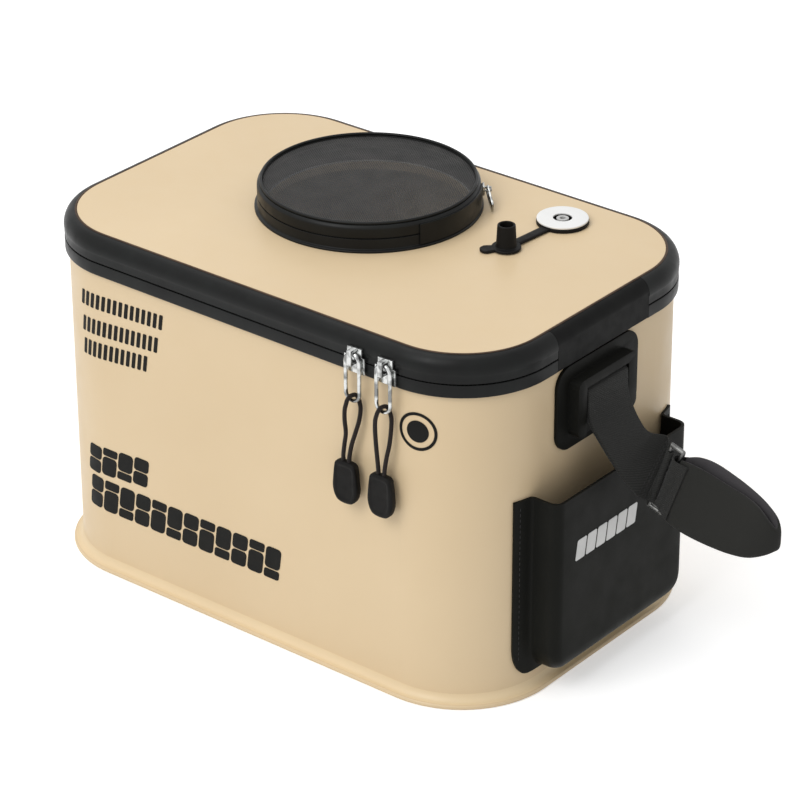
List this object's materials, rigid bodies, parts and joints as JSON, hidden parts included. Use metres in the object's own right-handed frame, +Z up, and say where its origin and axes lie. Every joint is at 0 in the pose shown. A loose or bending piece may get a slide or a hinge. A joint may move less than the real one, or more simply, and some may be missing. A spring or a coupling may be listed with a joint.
{
  "type": "bait bucket",
  "caption": "Soft-sided aerated bait bucket with a zipped hinged lid, a round mesh hatch, an air-line port with a tethered plug, a side pocket and a strap handle at each end.",
  "frame": {"origin": "middle of the underside of the base panel", "axes": "+X along the length towards the lid's hinge and the side pocket, +Y towards the back, +Z up"},
  "size_m": [0.5717, 0.2812, 0.2872],
  "materials": {
    "foam_sheet": "smooth beige closed-cell foam sheet with a coated skin",
    "trim": "black coated trim with a soft sheen",
    "moulded_foam": "black moulded foam, satin",
    "zip_teeth": "black nylon coil",
    "bright_metal": "plated zip and ring metal",
    "black_rubber": "soft black rubber",
    "disc": "white disc, satin",
    "valve": "light grey valve",
    "mesh": "dark woven mesh",
    "webbing": "black woven webbing",
    "grip_pad": "padded dark grip",
    "cord": "dark braided cord"
  },
  "bodies": {
    "tub": {"bucket_wall": "foam_sheet", "base_panel": "foam_sheet", "lower_trim": "trim", "lower_zip_coil": "zip_teeth", "hinge_strip_lower": "trim", "side_pocket": "moulded_foam", "handle_patch_right": "moulded_foam", "handle_patch_left": "moulded_foam", "handle_bar_right": "bright_metal", "handle_bar_left": "bright_metal"},
    "lid": {"lid_panel": "foam_sheet", "lid_trim": "trim", "lid_zip_coil": "zip_teeth", "hinge_strip_upper": "trim", "hatch_collar": "trim", "hatch_coil_lower": "zip_teeth", "hatch_hinge_lower": "trim", "port_grommet": "black_rubber", "port_disc": "disc", "port_valve": "valve"},
    "hatch": {"hatch_rim": "trim", "hatch_mesh": "mesh", "hatch_piping": "trim", "hatch_coil_upper": "zip_teeth", "hatch_hinge_upper": "trim"},
    "hatch_slider": {"hatch_slider": "bright_metal"},
    "hatch_pull": {"hatch_pull": "bright_metal"},
    "port_plug": {"port_plug": "black_rubber"},
    "zip_slider_left": {"zip_slider_left": "bright_metal"},
    "zip_slider_right": {"zip_slider_right": "bright_metal"},
    "pull_link_left": {"pull_link_left": "bright_metal"},
    "pull_link_right": {"pull_link_right": "bright_metal"},
    "pull_tag_left": {"pull_cord_left": "cord", "pull_tag_left": "black_rubber"},
    "pull_tag_right": {"pull_cord_right": "cord", "pull_tag_right": "black_rubber"},
    "handle_right": {"strap_right": "webbing", "strap_ring_right": "bright_metal", "grip_right": "grip_pad"},
    "handle_left": {"strap_left": "webbing", "strap_ring_left": "bright_metal", "grip_left": "grip_pad"}
  },
  "joints": [
    {"name": "lid_hinge", "type": "hinge", "parent": "tub", "child": "lid", "pos_m": [0.203, 0, 0.2467], "axis": [0, 1, 0], "range_deg": [0, 110]},
    {"name": "hatch_hinge", "type": "hinge", "parent": "lid", "child": "hatch", "pos_m": [0.05826, 0.03588, 0.2756], "axis": [-0.1045, 0.9945, 0], "range_deg": [0, 115]},
    {"name": "hatch_zip", "type": "hinge", "parent": "lid", "child": "hatch_slider", "pos_m": [-0.0215, 0.0275, 0.2756], "axis": [0, 0, 1], "range_deg": [0, 285]},
    {"name": "hatch_pull_swing", "type": "hinge", "parent": "hatch_slider", "child": "hatch_pull", "pos_m": [0.04114, 0.08195, 0.2756], "axis": [0, 0, 1], "range_deg": [0, 150]},
    {"name": "plug_flip", "type": "hinge", "parent": "lid", "child": "port_plug", "pos_m": [0.10065, 0.05835, 0.275], "axis": [-0.9967, 0.0806, 0], "range_deg": [0, 180]},
    {"name": "zip_left", "type": "slide", "parent": "tub", "child": "zip_slider_left", "axis": [1, 0, 0], "range_m": [-0.215, 0]},
    {"name": "zip_right", "type": "hinge", "parent": "tub", "child": "zip_slider_right", "pos_m": [0.134, -0.0645, 0.2467], "axis": [0, 0, -1], "range_deg": [-75, 0]},
    {"name": "link_left_swing", "type": "hinge", "parent": "zip_slider_left", "child": "pull_link_left", "pos_m": [0.1, -0.1382, 0.2527], "axis": [-1, 0, 0], "range_deg": [0, 110]},
    {"name": "link_right_swing", "type": "hinge", "parent": "zip_slider_right", "child": "pull_link_right", "pos_m": [0.126, -0.1382, 0.2527], "axis": [-1, 0, 0], "range_deg": [0, 110]},
    {"name": "tag_left_swing", "type": "hinge", "parent": "pull_link_left", "child": "pull_tag_left", "pos_m": [0.1, -0.1382, 0.2187], "axis": [-1, 0, 0], "range_deg": [0, 60]},
    {"name": "tag_right_swing", "type": "hinge", "parent": "pull_link_right", "child": "pull_tag_right", "pos_m": [0.126, -0.1382, 0.2187], "axis": [-1, 0, 0], "range_deg": [0, 60]},
    {"name": "handle_right_swing", "type": "hinge", "parent": "tub", "child": "handle_right", "pos_m": [0.2073, -0.005, 0.2135], "axis": [0, 1, 0], "range_deg": [-90, 0]},
    {"name": "handle_left_swing", "type": "hinge", "parent": "tub", "child": "handle_left", "pos_m": [-0.2073, -0.005, 0.2135], "axis": [0, -1, 0], "range_deg": [-90, 0]}
  ]
}
